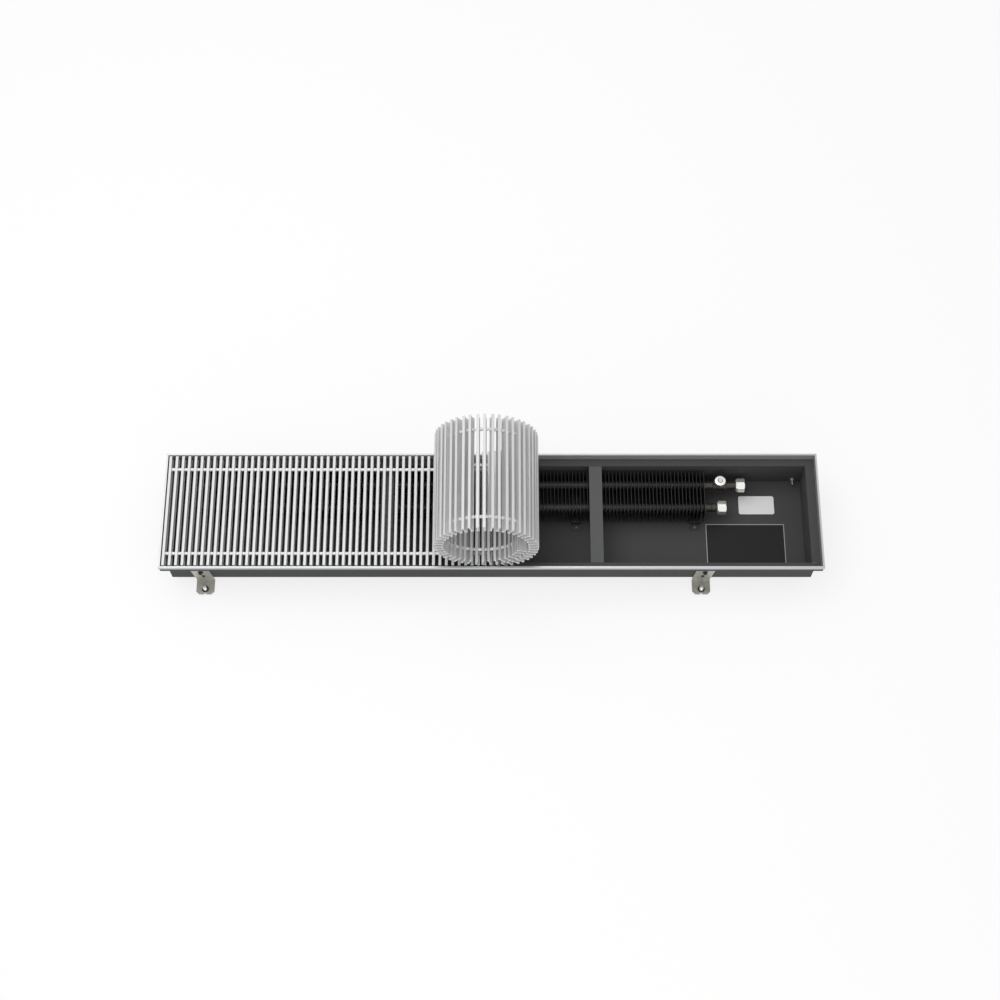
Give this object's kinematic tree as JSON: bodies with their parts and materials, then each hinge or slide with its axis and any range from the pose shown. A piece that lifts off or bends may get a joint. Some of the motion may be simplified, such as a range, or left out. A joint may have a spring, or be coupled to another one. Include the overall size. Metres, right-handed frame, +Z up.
{
  "type": "trench convector heater",
  "caption": "Floor trench convector: stepped steel trough with edge frame, finned heat exchanger, adjusting brackets and a roll-up lamella grille, half rolled up.",
  "frame": {"origin": "middle of the underside of the trough floor, which lies at z = 0", "axes": "+X along the trench towards the pipe connections, -Y the front long side, +Z up out of the floor"},
  "size_m": [1.22, 0.2598, 0.2879],
  "materials": {
    "coated_steel": "fine matt dark grey powder coat on steel sheet",
    "grey_steel": "satin grey coat on folded steel",
    "frame_aluminium": "satin anodised extrusion",
    "grille_aluminium": "satin anodised extrusion",
    "black_fins": "matt black coated fins on two pipes",
    "pipe_metal": "dark coated copper and brass",
    "nickel_plate": "bright nickel plate on brass",
    "galvanised_steel": "dull spangled zinc on steel",
    "zinc_steel": "bright zinc plated steel"
  },
  "bodies": {
    "trough": {"casing": "coated_steel", "end_wall_right": "coated_steel", "end_wall_left": "coated_steel", "frame_rail_back": "frame_aluminium", "frame_rail_front": "frame_aluminium", "frame_rail_left": "frame_aluminium", "frame_rail_right": "frame_aluminium", "cross_brace_right": "grey_steel", "cross_brace_left": "grey_steel", "earth_stud": "zinc_steel", "exchanger_core": "black_fins", "return_bend": "pipe_metal", "flow_tee": "pipe_metal", "return_tail": "pipe_metal", "air_vent": "nickel_plate", "exchanger_support_1": "grey_steel", "exchanger_support_2": "grey_steel", "exchanger_support_3": "grey_steel", "exchanger_support_4": "grey_steel", "exchanger_support_5": "grey_steel", "bracket_back_left": "galvanised_steel", "bracket_back_right": "galvanised_steel", "bracket_front_left": "galvanised_steel", "bracket_front_right": "galvanised_steel"},
    "grille_flat": {"grille_flat": "grille_aluminium"},
    "grille_link_01": {"grille_link_01": "grille_aluminium"},
    "grille_link_02": {"grille_link_02": "grille_aluminium"},
    "grille_link_03": {"grille_link_03": "grille_aluminium"},
    "grille_link_04": {"grille_link_04": "grille_aluminium"},
    "grille_link_05": {"grille_link_05": "grille_aluminium"},
    "grille_link_06": {"grille_link_06": "grille_aluminium"},
    "grille_link_07": {"grille_link_07": "grille_aluminium"},
    "grille_link_08": {"grille_link_08": "grille_aluminium"},
    "grille_link_09": {"grille_link_09": "grille_aluminium"},
    "grille_link_10": {"grille_link_10": "grille_aluminium"},
    "grille_link_11": {"grille_link_11": "grille_aluminium"},
    "grille_roll": {"grille_link_12": "grille_aluminium", "grille_link_13": "grille_aluminium", "grille_link_14": "grille_aluminium", "grille_link_15": "grille_aluminium", "grille_link_16": "grille_aluminium", "grille_link_17": "grille_aluminium", "grille_link_18": "grille_aluminium", "grille_link_19": "grille_aluminium", "grille_link_20": "grille_aluminium", "grille_link_21": "grille_aluminium", "grille_link_22": "grille_aluminium", "grille_link_23": "grille_aluminium", "grille_link_24": "grille_aluminium", "grille_link_25": "grille_aluminium", "grille_link_26": "grille_aluminium"},
    "bleed_screw": {"bleed_screw": "nickel_plate"},
    "flow_union_nut": {"flow_union_nut": "nickel_plate"},
    "return_union_nut": {"return_union_nut": "nickel_plate"},
    "levelling_screw_back_left": {"levelling_screw_back_left": "zinc_steel"},
    "levelling_screw_back_right": {"levelling_screw_back_right": "zinc_steel"},
    "levelling_screw_front_left": {"levelling_screw_front_left": "zinc_steel"},
    "levelling_screw_front_right": {"levelling_screw_front_right": "zinc_steel"}
  },
  "joints": [
    {"name": "grille_lift", "type": "slide", "parent": "trough", "child": "grille_flat", "axis": [0, 0, 1], "range_m": [0, 0.12]},
    {"name": "grille_pivot_01", "type": "hinge", "parent": "grille_flat", "child": "grille_link_01", "pos_m": [-0.0059, 0, 0.084], "axis": [0, 1, 0], "range_deg": [0, 14.54]},
    {"name": "grille_pivot_02", "type": "hinge", "parent": "grille_link_01", "child": "grille_link_02", "pos_m": [0.01694, 0, 0.08992], "axis": [0, 1, 0], "range_deg": [0, 14.67]},
    {"name": "grille_pivot_03", "type": "hinge", "parent": "grille_link_02", "child": "grille_link_03", "pos_m": [0.03754, 0, 0.10144], "axis": [0, 1, 0], "range_deg": [0, 14.8]},
    {"name": "grille_pivot_04", "type": "hinge", "parent": "grille_link_03", "child": "grille_link_04", "pos_m": [0.05452, 0, 0.11784], "axis": [0, 1, 0], "range_deg": [0, 14.94]},
    {"name": "grille_pivot_05", "type": "hinge", "parent": "grille_link_04", "child": "grille_link_05", "pos_m": [0.06669, 0, 0.13806], "axis": [0, 1, 0], "range_deg": [0, 15.08]},
    {"name": "grille_pivot_06", "type": "hinge", "parent": "grille_link_05", "child": "grille_link_06", "pos_m": [0.07317, 0, 0.16075], "axis": [0, 1, 0], "range_deg": [0, 15.23]},
    {"name": "grille_pivot_07", "type": "hinge", "parent": "grille_link_06", "child": "grille_link_07", "pos_m": [0.07348, 0, 0.18435], "axis": [0, 1, 0], "range_deg": [0, 15.38]},
    {"name": "grille_pivot_08", "type": "hinge", "parent": "grille_link_07", "child": "grille_link_08", "pos_m": [0.06751, 0, 0.20718], "axis": [0, 1, 0], "range_deg": [0, 15.54]},
    {"name": "grille_pivot_09", "type": "hinge", "parent": "grille_link_08", "child": "grille_link_09", "pos_m": [0.05564, 0, 0.22758], "axis": [0, 1, 0], "range_deg": [0, 15.69]},
    {"name": "grille_pivot_10", "type": "hinge", "parent": "grille_link_09", "child": "grille_link_10", "pos_m": [0.0387, 0, 0.24401], "axis": [0, 1, 0], "range_deg": [0, 15.86]},
    {"name": "grille_pivot_11", "type": "hinge", "parent": "grille_link_10", "child": "grille_link_11", "pos_m": [0.01791, 0, 0.25518], "axis": [0, 1, 0], "range_deg": [0, 16.03]},
    {"name": "grille_pivot_12", "type": "hinge", "parent": "grille_link_11", "child": "grille_roll", "pos_m": [-0.00515, 0, 0.26018], "axis": [0, 1, 0], "range_deg": [0, 16.2]},
    {"name": "bleed_screw_turn", "type": "hinge", "parent": "trough", "child": "bleed_screw", "pos_m": [0.431, 0.074, 0.057], "axis": [0, 0, 1], "range_deg": [0, 360]},
    {"name": "flow_nut_turn", "type": "hinge", "parent": "trough", "child": "flow_union_nut", "pos_m": [0.462, 0.074, 0.035], "axis": [1, 0, 0], "continuous": true},
    {"name": "return_nut_turn", "type": "hinge", "parent": "trough", "child": "return_union_nut", "pos_m": [0.425, 0.028, 0.035], "axis": [1, 0, 0], "continuous": true},
    {"name": "levelling_screw_back_left_travel", "type": "slide", "parent": "trough", "child": "levelling_screw_back_left", "axis": [0, 0, -1], "range_m": [0, 0.012]},
    {"name": "levelling_screw_back_right_travel", "type": "slide", "parent": "trough", "child": "levelling_screw_back_right", "axis": [0, 0, -1], "range_m": [0, 0.012]},
    {"name": "levelling_screw_front_left_travel", "type": "slide", "parent": "trough", "child": "levelling_screw_front_left", "axis": [0, 0, -1], "range_m": [0, 0.012]},
    {"name": "levelling_screw_front_right_travel", "type": "slide", "parent": "trough", "child": "levelling_screw_front_right", "axis": [0, 0, -1], "range_m": [0, 0.012]}
  ]
}
